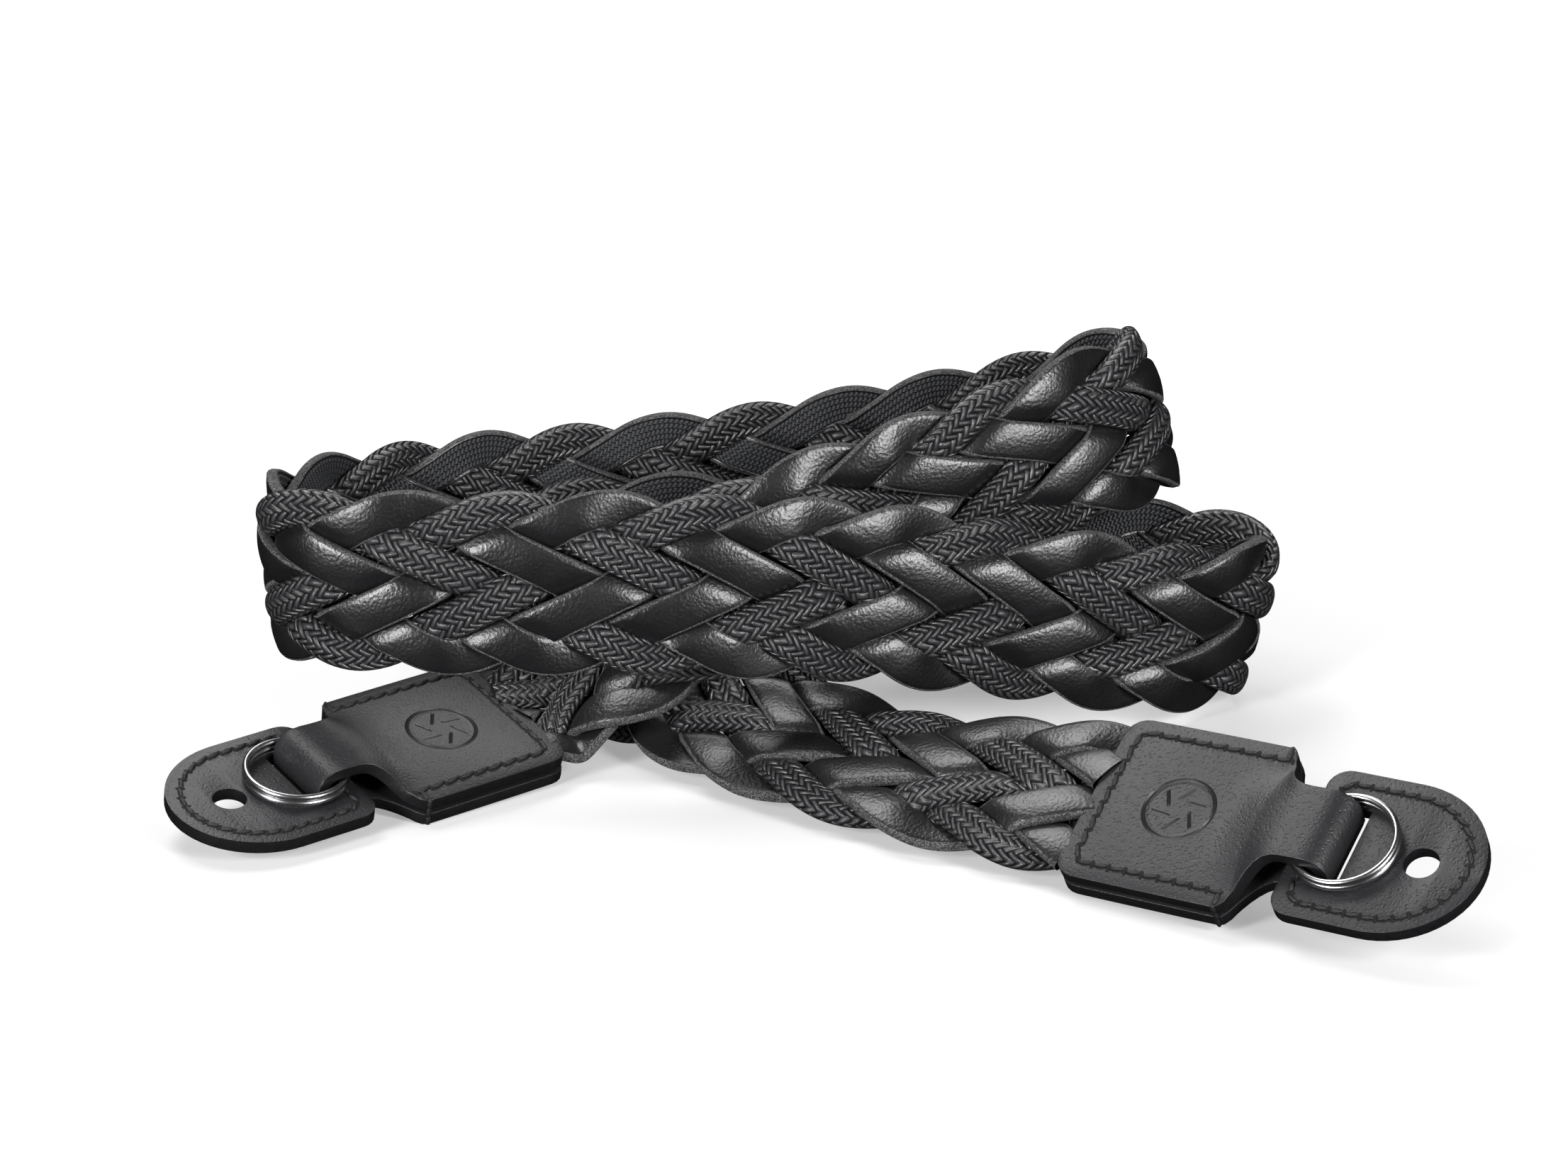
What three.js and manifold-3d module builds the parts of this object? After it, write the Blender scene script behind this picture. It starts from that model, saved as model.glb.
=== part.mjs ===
// A braided leather camera strap, coiled up and lying on a table.
// Seven flat strands make the band, four leather strips and three textile cords. From an edge
// each goes under one, over two, under two and over one. The band stands on its edge, winds
// round in an open spiral and ends in two flat tabs. Each tab is one folded piece of leather
// whose neck holds a split ring and passes through the slot of a leather guard.
// Millimetres, +Z up, standing on Z = 0.
import * as THREE from "three";
import { mergeVertices } from "three/addons/utils/BufferGeometryUtils.js";
import Module from "manifold-3d";

const wasm = await Module();
wasm.setup();

// Driving dimensions of the band
const bandWidth = 36;
const strandOrder = ["leather", "leather", "cord", "leather", "cord", "leather", "cord"];
const crossingSides = [-1, 1, 1, -1, -1, 1];
const braidPeriod = 134.4;
const braidPhase = -47.5;
const strandWidth = 6.5;
const strandThickness = 2.1;
const crossingClearance = 0.9;
const tipRounding = 0.5;
const tipRoundness = 1.7;
const bendTurn = 0.1;
const strandOverrun = 3;
const bandTuck = 13;

// Driving dimensions of an end: tab, neck, ring and guard
const tabWidth = 37;
const tabLength = 36;
const tabThickness = 5.6;
const tabCorner = 4;
const shoulderSetback = 1.5;
const shoulderCut = 2;
const shoulderHollow = 6;
const neckWidth = 16;
const neckLength = 15;
const foldRadius = 2.5;
const layerThickness = 2.2;
const ringDiameter = 20.5;
const ringWire = 1.3;
const ringCoils = 2;
const ringChamferShare = 0.3;
const ringSides = 28;
const guardWidth = 33;
const guardLength = 35;
const guardThickness = 2.5;
const guardCorner = 4;
const guardHoleDiameter = 6.5;
const guardHoleFromFold = 14.5;
const guardStrip = 6.5;
const slotPlay = 1.6;
const seatClearance = 0.3;
const curveSegments = 5;

// The route of the band's middle line, with the angle by which its upper edge leans inward
const route = [
  { x: -71, y: -5, z: 9, lean: 77 },
  { x: -62, y: 5, z: 8.2, lean: 77 },
  { x: -53, y: 14.5, z: 7.4, lean: 77 },
  { x: -45, y: 19, z: 8.5, lean: 74 },
  { x: -36, y: 18.5, z: 18, lean: 57 },
  { x: -25, y: 18.5, z: 27, lean: 42 },
  { x: -10, y: 20, z: 36.5, lean: 26 },
  { x: 8, y: 25, z: 42, lean: 10 },
  { x: 28, y: 32, z: 47, lean: 4 },
  { x: 46, y: 38, z: 52.5, lean: 6 },
  { x: 64, y: 46, z: 57, lean: 12 },
  { x: 78, y: 62, z: 57.5, lean: 18 },
  { x: 71, y: 79, z: 52.5, lean: 14 },
  { x: 45, y: 79, z: 44.5, lean: 4 },
  { x: 14, y: 73, z: 40, lean: 2 },
  { x: -20, y: 70, z: 35.5, lean: 2 },
  { x: -54, y: 69, z: 32.5, lean: 0 },
  { x: -87, y: 50, z: 34.5, lean: -4 },
  { x: -104, y: 19, z: 38.5, lean: -6 },
  { x: -89, y: 0, z: 41, lean: 2 },
  { x: -55, y: -1, z: 42, lean: 10 },
  { x: -20, y: -1, z: 41.5, lean: 10 },
  { x: 15, y: 8, z: 37, lean: 8 },
  { x: 48, y: 20, z: 28, lean: 6 },
  { x: 82, y: 29, z: 19.5, lean: 0 },
  { x: 100, y: 45, z: 18.5, lean: -16 },
  { x: 85, y: 64, z: 18.5, lean: -6 },
  { x: 56, y: 62, z: 19.5, lean: 2 },
  { x: 24, y: 57, z: 24.5, lean: 4 },
  { x: -8, y: 57.5, z: 27.5, lean: 4 },
  { x: -36, y: 60, z: 25.7, lean: 2 },
  { x: -60, y: 60.5, z: 23, lean: 7 },
  { x: -63, y: 41.5, z: 20, lean: 11 },
  { x: -40, y: 37.5, z: 16.5, lean: 34 },
  { x: -23, y: 27, z: 13, lean: 52 },
  { x: -7, y: 8, z: 9.6, lean: 70 },
  { x: 11, y: -7, z: 8.3, lean: 76 },
  { x: 24, y: -17, z: 8.7, lean: 74 },
  { x: 39, y: -26, z: 10.5, lean: 66 },
  { x: 54, y: -36, z: 12.4, lean: 58 },
  { x: 69, y: -46, z: 12.6, lean: 57 },
  { x: 84, y: -56, z: 12.6, lean: 57 },
];
const routeSteps = 24;

const leatherLook = { color: 0x17181a, roughness: 0.45, metalness: 0 };
const cordLook = { color: 0x202124, roughness: 0.7, metalness: 0 };
const steelLook = { color: 0xb9bcc0, roughness: 0.25, metalness: 1 };

// A uniform cubic B-spline through the route's stations, one sample per step
function sampleRoute() {
  const samples = [];
  for (let i = 1; i < route.length - 2; i += 1) {
    const around = route.slice(i - 1, i + 3);
    for (let step = 0; step < routeSteps; step += 1) {
      const t = step / routeSteps;
      const rising = -3 * t ** 3 + 3 * t ** 2 + 3 * t + 1;
      const weights = [(1 - t) ** 3, 3 * t ** 3 - 6 * t ** 2 + 4, rising, t ** 3];
      const blend = (key) => around.reduce((sum, station, k) => sum + station[key] * weights[k], 0) / 6;
      const middle = new THREE.Vector3(blend("x"), blend("y"), blend("z"));
      samples.push({ middle, lean: blend("lean") });
    }
  }
  return samples;
}

// Each sample gets its length along the band and three directions: along, up the width, outward
function frameSamples(samples) {
  const up = new THREE.Vector3(0, 0, 1);
  let length = 0;
  samples.forEach((sample, i) => {
    const before = samples[Math.max(i - 1, 0)].middle;
    const after = samples[Math.min(i + 1, samples.length - 1)].middle;
    const along = after.clone().sub(before).normalize();
    const inward = new THREE.Vector3().crossVectors(up, along).normalize();
    const upright = new THREE.Vector3().crossVectors(along, inward);
    const lean = THREE.MathUtils.degToRad(sample.lean);
    sample.along = along;
    sample.across = upright.multiplyScalar(Math.cos(lean)).addScaledVector(inward, Math.sin(lean));
    sample.outward = new THREE.Vector3().crossVectors(along, sample.across);
    length += i === 0 ? 0 : sample.middle.distanceTo(before);
    sample.length = length;
  });
  return samples;
}

const samples = frameSamples(sampleRoute());
const routeLength = samples[samples.length - 1].length;

// The frame at a length along the route; past its ends the band goes on straight
function bandFrame(length) {
  const inside = THREE.MathUtils.clamp(length, 0, routeLength);
  let high = samples.findIndex((sample) => sample.length >= inside);
  high = Math.max(high, 1);
  const before = samples[high - 1];
  const after = samples[high];
  const share = (inside - before.length) / (after.length - before.length);
  const mix = (key) => before[key].clone().lerp(after[key], share);
  const frame = { along: mix("along"), across: mix("across"), outward: mix("outward") };
  frame.middle = mix("middle").addScaledVector(frame.along, length - inside);
  return frame;
}

function bandPoint(length, width, out) {
  const frame = bandFrame(length);
  return frame.middle.addScaledVector(frame.across, width).addScaledVector(frame.outward, out);
}

// The plait laid flat: a strand zigzags between the edges and its rings lie along the strands
// that it crosses, so that two crossing strands stay parallel over their whole shared diamond
const apexReach = (bandWidth - strandWidth) / 2 + tipRounding;
const crossingStep = braidPeriod / (2 * strandOrder.length);
const legSlope = (4 * apexReach) / braidPeriod;
const legCos = 1 / Math.hypot(1, legSlope);
const ringHalf = strandWidth / 2 / (2 * legSlope * legCos * legCos);
const ringReach = ringHalf * legCos;
const ringRise = ringReach * legSlope;
const crossingOffset = (strandThickness + crossingClearance) / 2;
const tipExit = crossingStep - ringReach;

// How far the band bends or twists between two lengths, in radians
function bandTurn(from, to) {
  const before = bandFrame(from);
  const after = bandFrame(to);
  return before.along.angleTo(after.along) + before.outward.angleTo(after.outward);
}

// Where the strand stays on one side for two crossings it has no ring between them, except on
// the band's bends, where one more keeps it on the curve
function legRings(start, falling) {
  const rings = [];
  const addRing = (travel, side) => {
    const middle = (apexReach - travel * legSlope) * falling;
    const left = [start + travel + ringReach * falling, middle + ringRise];
    const right = [start + travel - ringReach * falling, middle - ringRise];
    rings.push({ left, right, out: side * crossingOffset, falling });
  };
  crossingSides.forEach((side, i) => {
    const travel = (i + 1) * crossingStep;
    if (crossingSides[i - 1] !== side) {
      addRing(travel - ringReach, side);
    } else if (bandTurn(start + travel - crossingStep, start + travel) > bendTurn) {
      addRing(travel - crossingStep / 2, side);
    }
    if (crossingSides[i + 1] !== side) addRing(travel + ringReach, side);
  });
  return rings;
}

// The round turn at an edge, from one leg's last ring to the next leg's first
function tipRings(centre, falling) {
  const outerReach = tipExit + ringReach;
  const innerReach = tipExit - ringReach;
  const exitHeight = apexReach - tipExit * legSlope;
  const outerDrop = bandWidth / 2 - exitHeight - ringRise;
  const innerBase = bandWidth / 2 - strandWidth;
  const innerDrop = innerBase - (exitHeight - ringRise);
  return [-0.5, 0, 0.5].map((share) => {
    const outerHeight = bandWidth / 2 - outerDrop * Math.abs(share) ** tipRoundness;
    const innerHeight = innerBase - innerDrop * Math.abs(share);
    const outer = [centre + outerReach * share, -falling * outerHeight];
    const inner = [centre + innerReach * share, -falling * innerHeight];
    const [left, right] = falling > 0 ? [inner, outer] : [outer, inner];
    return { left, right, out: -share * crossingOffset, falling: share < 0 ? falling : -falling };
  });
}

function strandRings(phase) {
  const rings = [];
  const halfPeriod = braidPeriod / 2;
  const first = -Math.ceil((bandTuck + 2 * braidPeriod) / halfPeriod);
  const last = Math.ceil((routeLength + 2 * braidPeriod) / halfPeriod);
  for (let half = first; half <= last; half += 1) {
    const start = braidPhase + (half + 2 * phase) * halfPeriod;
    const falling = half % 2 === 0 ? 1 : -1;
    rings.push(...legRings(start, falling), ...tipRings(start + halfPeriod, falling));
  }
  return rings.filter(({ left, right }) => {
    const low = Math.min(left[0], right[0]);
    const high = Math.max(left[0], right[0]);
    return low > -strandOverrun && high < routeLength + strandOverrun;
  });
}

// A closed strip through the rings; each patch folds along the band's width, as bends need
function strandSolid(phase) {
  const rings = strandRings(phase);
  const half = strandThickness / 2;
  const positions = [];
  for (const { left, right, out } of rings) {
    for (const [side, height] of [[left, half], [right, half], [right, -half], [left, -half]]) {
      positions.push(...bandPoint(side[0], side[1], out + height).toArray());
    }
  }
  const faces = [];
  for (let i = 0; i + 1 < rings.length; i += 1) {
    const [a, b, c, d] = [0, 1, 2, 3].map((k) => 4 * i + k);
    const [e, f, g, h] = [0, 1, 2, 3].map((k) => 4 * i + 4 + k);
    if (rings[i].falling > 0) {
      faces.push([b, f, a], [f, e, a], [c, d, g], [g, d, h]);
    } else {
      faces.push([b, f, e], [b, e, a], [c, d, h], [c, h, g]);
    }
    faces.push([a, e, d], [e, h, d], [b, c, f], [c, g, f]);
  }
  const z = positions.length / 3 - 4;
  faces.push([0, 3, 1], [1, 3, 2], [z, z + 1, z + 3], [z + 1, z + 2, z + 3]);
  return new wasm.Manifold(
    new wasm.Mesh({
      numProp: 3,
      vertProperties: new Float32Array(positions),
      triVerts: new Uint32Array(faces.flat()),
    }),
  );
}

function toManifold(geometry, matrix) {
  const plain = geometry.clone();
  plain.deleteAttribute("normal");
  plain.deleteAttribute("uv");
  if (matrix) plain.applyMatrix4(matrix);
  const merged = mergeVertices(plain);
  return new wasm.Manifold(
    new wasm.Mesh({
      numProp: 3,
      vertProperties: new Float32Array(merged.attributes.position.array),
      triVerts: new Uint32Array(merged.index.array),
    }),
  );
}

function toGeometry(solid) {
  const mesh = solid.getMesh();
  const geometry = new THREE.BufferGeometry();
  geometry.setAttribute("position", new THREE.BufferAttribute(new Float32Array(mesh.vertProperties), 3));
  geometry.setIndex(new THREE.BufferAttribute(new Uint32Array(mesh.triVerts), 1));
  const flat = geometry.toNonIndexed();
  flat.computeVertexNormals();
  return flat;
}

// A point of the end's own frame: x from the braid's end to the ring, y across, z outward
function endMatrix(length, side) {
  const { along, across, outward, middle } = bandFrame(length);
  const x = along.clone().multiplyScalar(side);
  const y = across.clone().multiplyScalar(side);
  return new THREE.Matrix4().makeBasis(x, y, outward).setPosition(middle);
}

function extrudeFlat(shape, low, high) {
  const depth = high - low;
  const geometry = new THREE.ExtrudeGeometry(shape, { depth, bevelEnabled: false, curveSegments });
  return geometry.translate(0, 0, low);
}

// The tab's outline: round corners at the braid, hollow shoulders down to the neck
function tabOutline(end) {
  const half = tabWidth / 2;
  const neck = neckWidth / 2;
  const shoulder = tabLength - shoulderSetback;
  const shape = new THREE.Shape();
  shape.moveTo(tabCorner, -half);
  shape.lineTo(shoulder - shoulderCut, -half);
  shape.lineTo(shoulder, -half + shoulderCut);
  shape.quadraticCurveTo(shoulder, -neck, shoulder + shoulderHollow, -neck);
  shape.lineTo(end, -neck);
  shape.lineTo(end, neck);
  shape.lineTo(shoulder + shoulderHollow, neck);
  shape.quadraticCurveTo(shoulder, neck, shoulder, half - shoulderCut);
  shape.lineTo(shoulder - shoulderCut, half);
  shape.lineTo(tabCorner, half);
  shape.absarc(tabCorner, half - tabCorner, tabCorner, Math.PI / 2, Math.PI, false);
  shape.absarc(tabCorner, -half + tabCorner, tabCorner, Math.PI, 1.5 * Math.PI, false);
  return shape;
}

// Heights of the stack inside the neck's fold, counted from the tab's middle plane
const ringHeight = ringCoils * ringWire;
const guardLow = -tabThickness / 2 + layerThickness + seatClearance;
const guardHigh = guardLow + guardThickness;
const ringLow = guardHigh + seatClearance;
const foldHigh = ringLow + ringHeight + seatClearance + layerThickness;
const foldEnd = tabLength + neckLength;
const ringCentre = foldEnd;
const tunnelStart = ringCentre - ringDiameter / 2 - seatClearance;

// The fold's side view: the neck swells over the ring and comes back under the guard
const tunnelEnd = foldEnd - layerThickness;
const tunnelLow = -tabThickness / 2 + layerThickness;
const tunnelHigh = foldHigh - layerThickness;
const riseStart = tabLength - shoulderSetback - 1;

function foldProfile() {
  const low = -tabThickness / 2;
  const shape = new THREE.Shape();
  shape.moveTo(riseStart, low);
  shape.lineTo(foldEnd - foldRadius, low);
  shape.quadraticCurveTo(foldEnd, low, foldEnd, low + foldRadius);
  shape.lineTo(foldEnd, foldHigh - foldRadius);
  shape.quadraticCurveTo(foldEnd, foldHigh, foldEnd - foldRadius, foldHigh);
  shape.lineTo(tunnelStart, foldHigh);
  shape.lineTo(riseStart, -low);
  shape.closePath();
  const tunnel = new THREE.Path();
  tunnel.moveTo(tunnelStart, tunnelLow);
  tunnel.lineTo(tunnelStart, tunnelHigh);
  tunnel.lineTo(tunnelEnd, tunnelHigh);
  tunnel.lineTo(tunnelEnd, tunnelLow);
  tunnel.closePath();
  shape.holes.push(tunnel);
  return shape;
}

function tabSolid() {
  const plateEnd = tabLength + shoulderHollow;
  const plate = toManifold(extrudeFlat(tabOutline(plateEnd), -tabThickness / 2, tabThickness / 2));
  const foldOptions = { depth: neckWidth, bevelEnabled: false, curveSegments: 3 };
  const fold = new THREE.ExtrudeGeometry(foldProfile(), foldOptions);
  fold.rotateX(Math.PI / 2).translate(0, neckWidth / 2, 0);
  const tunnelCut = new THREE.BoxGeometry(tunnelEnd - tunnelStart, bandWidth, tunnelHigh - tunnelLow);
  tunnelCut.translate((tunnelEnd + tunnelStart) / 2, 0, (tunnelHigh + tunnelLow) / 2);
  return plate.subtract(toManifold(tunnelCut)).add(toManifold(fold));
}

function ringSolid() {
  const outer = ringDiameter / 2;
  const inner = outer - ringWire;
  const chamfer = ringWire * ringChamferShare;
  const profile = [
    [inner + chamfer, 0],
    [outer - chamfer, 0],
    [outer, chamfer],
    [outer, ringHeight - chamfer],
    [outer - chamfer, ringHeight],
    [inner + chamfer, ringHeight],
    [inner, ringHeight - chamfer],
    [inner, chamfer],
    [inner + chamfer, 0],
  ].map(([radius, height]) => new THREE.Vector2(radius, height));
  const ring = new THREE.LatheGeometry(profile, ringSides);
  ring.rotateX(Math.PI / 2).translate(ringCentre, 0, ringLow);
  return toManifold(ring);
}

// The guard: a square near end with round corners, an oval far end, a slot and a hole
function guardSolid() {
  const near = foldEnd - layerThickness - seatClearance - guardStrip;
  const half = guardWidth / 2;
  const oval = guardLength / 2;
  const centre = near + guardLength - oval;
  const outline = new THREE.Shape();
  outline.moveTo(near + guardCorner, -half);
  outline.lineTo(centre, -half);
  outline.absellipse(centre, 0, oval, half, -Math.PI / 2, Math.PI / 2, false);
  outline.lineTo(near + guardCorner, half);
  outline.absarc(near + guardCorner, half - guardCorner, guardCorner, Math.PI / 2, Math.PI, false);
  outline.absarc(near + guardCorner, -half + guardCorner, guardCorner, Math.PI, 1.5 * Math.PI, false);
  const slotHalf = neckWidth / 2 + 2 * seatClearance;
  const slotNear = near + guardStrip;
  const slotFar = foldEnd + slotPlay;
  const slot = new THREE.Path();
  slot.moveTo(slotNear, -slotHalf);
  slot.lineTo(slotNear, slotHalf);
  slot.lineTo(slotFar, slotHalf);
  slot.lineTo(slotFar, -slotHalf);
  slot.closePath();
  const hole = new THREE.Path();
  hole.absarc(foldEnd + guardHoleFromFold, 0, guardHoleDiameter / 2, 0, 2 * Math.PI, true);
  outline.holes.push(slot, hole);
  return toManifold(extrudeFlat(outline, guardLow, guardHigh));
}

// Everything beyond a tab's braid edge, which the strands are cut back to
function endCut(matrix) {
  const size = 2 * tabLength;
  const box = new THREE.BoxGeometry(size, 2 * tabWidth, 4 * strandThickness);
  box.translate(size / 2 - seatClearance, 0, 0);
  return toManifold(box, matrix);
}

const strap = new THREE.Group();
strap.name = "coiled_camera_strap";
const parts = [];

function addPart(name, solid, look) {
  const mesh = new THREE.Mesh(toGeometry(solid), new THREE.MeshStandardMaterial(look));
  mesh.name = name;
  parts.push(mesh);
  strap.add(mesh);
}

const ends = [
  { name: "left", matrix: endMatrix(bandTuck, -1) },
  { name: "right", matrix: endMatrix(routeLength - bandTuck, 1) },
];
const cuts = ends.map(({ matrix }) => endCut(matrix));

const counts = { leather: 0, cord: 0 };
strandOrder.forEach((kind, k) => {
  counts[kind] += 1;
  const solid = cuts.reduce((strand, cut) => strand.subtract(cut), strandSolid(k / strandOrder.length));
  addPart(`${kind}_strand_${counts[kind]}`, solid, kind === "leather" ? leatherLook : cordLook);
});

for (const { name, matrix } of ends) {
  const place = (solid) => toManifold(toGeometry(solid), matrix);
  addPart(`${name}_end_tab`, place(tabSolid()), leatherLook);
  addPart(`${name}_split_ring`, place(ringSolid()), steelLook);
  addPart(`${name}_ring_guard`, place(guardSolid()), leatherLook);
}

// The strap is let down until its lowest point rests on the table, centred on the origin
const box = new THREE.Box3().setFromObject(strap);
const centre = box.getCenter(new THREE.Vector3());
for (const mesh of parts) mesh.position.set(-centre.x, -centre.y, -box.min.z);

export default strap;
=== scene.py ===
# %% [markdown]
# # A plaited leather camera strap, coiled up on a table
# The band is plaited from four leather strips and three woven cords. It stands on its edge and
# winds round in an open coil. Each end is sewn into a folded leather tab, whose neck carries a
# split ring and a leather guard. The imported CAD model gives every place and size, and this
# lesson gives it its look. Blender works in metres, and the sizes below are in millimetres,
# turned to metres by MM. The table is at z = 0.

import bpy
import math
import random
import numpy as np
from mathutils import Matrix, Vector


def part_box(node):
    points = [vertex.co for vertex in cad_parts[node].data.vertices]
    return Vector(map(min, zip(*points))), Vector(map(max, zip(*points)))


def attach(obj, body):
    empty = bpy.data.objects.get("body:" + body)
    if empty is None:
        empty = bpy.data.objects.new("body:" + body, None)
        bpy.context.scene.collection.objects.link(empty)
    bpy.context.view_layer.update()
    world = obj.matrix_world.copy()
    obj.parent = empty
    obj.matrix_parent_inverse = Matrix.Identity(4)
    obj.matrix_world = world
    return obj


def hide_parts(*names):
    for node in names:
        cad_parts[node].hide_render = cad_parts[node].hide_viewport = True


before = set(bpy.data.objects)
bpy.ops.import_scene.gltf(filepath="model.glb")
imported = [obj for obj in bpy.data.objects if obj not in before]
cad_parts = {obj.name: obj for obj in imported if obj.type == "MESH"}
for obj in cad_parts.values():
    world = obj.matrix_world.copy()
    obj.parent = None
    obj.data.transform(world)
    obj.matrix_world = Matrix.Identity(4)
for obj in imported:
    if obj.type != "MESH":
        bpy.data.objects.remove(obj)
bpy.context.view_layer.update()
random.seed(7)

# %% [markdown]
# ## The way the band takes
# The strap is one long ribbon. Its middle line is a smooth curve led by these stations, in
# millimetres, and the last number is how far the ribbon's upper edge leans inward, in degrees.
# A B-spline was chosen because it never overshoots, so the bends stay round.

# %% Route of the band
STATIONS = [
    (-71, -5, 9, 77), (-62, 5, 8.2, 77), (-53, 14.5, 7.4, 77), (-45, 19, 8.5, 74),
    (-36, 18.5, 18, 57), (-25, 18.5, 27, 42), (-10, 20, 36.5, 26), (8, 25, 42, 10),
    (28, 32, 47, 4), (46, 38, 52.5, 6), (64, 46, 57, 12), (78, 62, 57.5, 18),
    (71, 79, 52.5, 14), (45, 79, 44.5, 4), (14, 73, 40, 2), (-20, 70, 35.5, 2),
    (-54, 69, 32.5, 0), (-87, 50, 34.5, -4), (-104, 19, 38.5, -6), (-89, 0, 41, 2),
    (-55, -1, 42, 10), (-20, -1, 41.5, 10), (15, 8, 37, 8), (48, 20, 28, 6),
    (82, 29, 19.5, 0), (100, 45, 18.5, -16), (85, 64, 18.5, -6), (56, 62, 19.5, 2),
    (24, 57, 24.5, 4), (-8, 57.5, 27.5, 4), (-36, 60, 25.7, 2), (-60, 60.5, 23, 7),
    (-63, 41.5, 20, 11), (-40, 37.5, 16.5, 34), (-23, 27, 13, 52), (-7, 8, 9.6, 70),
    (11, -7, 8.3, 76), (24, -17, 8.7, 74), (39, -26, 10.5, 66), (54, -36, 12.4, 58),
    (69, -46, 12.6, 57), (84, -56, 12.6, 57),
]
MM = 0.001
POINTS_PER_STATION = 24


def smooth_route(points):
    """Rows of a uniform cubic B-spline, from the second station to the last but one."""
    points = np.array(points, float)
    rows = []
    for i in range(1, len(points) - 2):
        for t in np.arange(POINTS_PER_STATION) / POINTS_PER_STATION:
            before, after = (1 - t) ** 3, t**3
            weights = [before, 3 * after - 6 * t**2 + 4, -3 * after + 3 * t**2 + 3 * t + 1, after]
            rows.append(np.array(weights) / 6 @ points[i - 1 : i + 3])
    return np.array(rows)


def unit(vectors):
    return vectors / np.linalg.norm(vectors, axis=-1, keepdims=True)


route = smooth_route(STATIONS)
middle = route[:, :3]
along = unit(np.gradient(middle, axis=0))
inward = unit(np.cross([0.0, 0.0, 1.0], along))
lean = np.radians(route[:, 3])[:, None]
across = np.cos(lean) * np.cross(along, inward) + np.sin(lean) * inward
outward = np.cross(along, across)
travelled = np.concatenate([[0], np.cumsum(np.linalg.norm(np.diff(middle, axis=0), axis=1))])
route_length = travelled[-1]
print("the band is", round(route_length), "mm long")

# %% [markdown]
# ## From the flat plait to the coil
# Every point of the plait is first worked out flat, as a length along the band, a height across
# it and a distance out of it. This helper carries such points onto the route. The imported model
# stands on the table and is centred on it, so everything is moved by one small shift, which is
# found further down.

# %% Points of the band in the row frame
BAND_TUCK = 13.0
BAND_WIDTH = 36.0
SHIFT = np.zeros(3)


def at_length(length, table):
    """The rows of a route table at these lengths along the band."""
    return np.stack([np.interp(length, travelled, table[:, i]) for i in range(3)], -1)


def on_band(length, height, out):
    inside = np.clip(length, 0, route_length)
    point = at_length(inside, middle) + at_length(inside, along) * (length - inside)[..., None]
    raised = point + at_length(inside, across) * height[..., None]
    return (raised + at_length(inside, outward) * out[..., None] + SHIFT) * MM


print("each end of the band is tucked", BAND_TUCK, "mm into its tab")

# %% [markdown]
# ## How seven strands are plaited
# From the top edge a strand goes under one other, over two, under two and over one, and then
# turns round at the bottom edge and does the same on its way up. In the flat plait a strand is
# a zigzag with round corners. Its height out of the plait changes only where it passes from
# under a neighbour to over the next one. Where it passes over two or under two it also arches a
# little, as leather and cord under tension do, and that is what makes the highlights roll.

# %% The zigzag and the weave
STRANDS = ["leather", "leather", "cord", "leather", "cord", "leather", "cord"]
CROSSINGS = len(STRANDS)
PERIOD = 134.4
PHASE = -47.5
STEP = PERIOD / (2 * CROSSINGS)
LIFT = 1.5
ARCH = 0.52
STRIP_HALF = 3.85
TURN = 7.0
APEX = BAND_WIDTH / 2 - STRIP_HALF
SLOPE = 4 * APEX / (PERIOD - 2 * TURN)
SKEW = (SLOPE**2 - 1) / math.sqrt(1 + SLOPE**2) / (2 * SLOPE * STEP)
# Where a strand changes sides, in crossings counted from its corner, and over what reach.
COMES_OUT, GOES_IN, COMES_OUT_AGAIN = 1.5, 3.5, 5.5
PASS_REACH, CORNER_REACH = 0.36, 0.8


def ease(x):
    x = np.clip(x, 0, 1)
    return x * x * (3 - 2 * x)


def zigzag(s):
    """Height of a strand's middle and its slope, with s counted from a top corner."""
    x = (s + PERIOD / 2) % PERIOD - PERIOD / 2
    from_top = np.abs(x)
    from_bottom = PERIOD / 2 - from_top
    side = np.sign(x) + (x == 0)
    round_top = from_top < TURN
    round_bottom = from_bottom < TURN
    height = APEX + SLOPE * TURN / 2 - SLOPE * from_top
    slope = np.full_like(x, -SLOPE)
    height = np.where(round_top, APEX - SLOPE * from_top**2 / (2 * TURN), height)
    slope = np.where(round_top, -SLOPE * from_top / TURN, slope)
    height = np.where(round_bottom, -APEX + SLOPE * from_bottom**2 / (2 * TURN), height)
    slope = np.where(round_bottom, -SLOPE * from_bottom / TURN, slope)
    return height, slope * side


def weave(s, side_shift):
    """About 1 where the strand lies on the plait's outside and -1 where it lies inside."""
    x = (s / STEP) % (2 * CROSSINGS)
    falling = np.where(x < CROSSINGS, 1.0, -1.0)
    y = x % CROSSINGS
    near_corner = np.minimum(y, CROSSINGS - y)
    y = y + SKEW * side_shift * falling * ease(near_corner)
    change = lambda at, reach: ease((y - at) / (2 * reach) + 0.5)
    sides = -1 + 2 * change(COMES_OUT, PASS_REACH) - 2 * change(GOES_IN, PASS_REACH)
    sides = sides + 2 * change(COMES_OUT_AGAIN, PASS_REACH)
    sides = sides - 2 * change(CROSSINGS, CORNER_REACH) + 2 * (1 - change(0, CORNER_REACH))
    swell = lambda start: np.sin(np.pi * np.clip((y - start) / 2, 0, 1))
    return sides + ARCH * (swell(COMES_OUT) - swell(GOES_IN))


print("strand corners every", round(PERIOD / CROSSINGS, 1), "mm along the edge")

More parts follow.
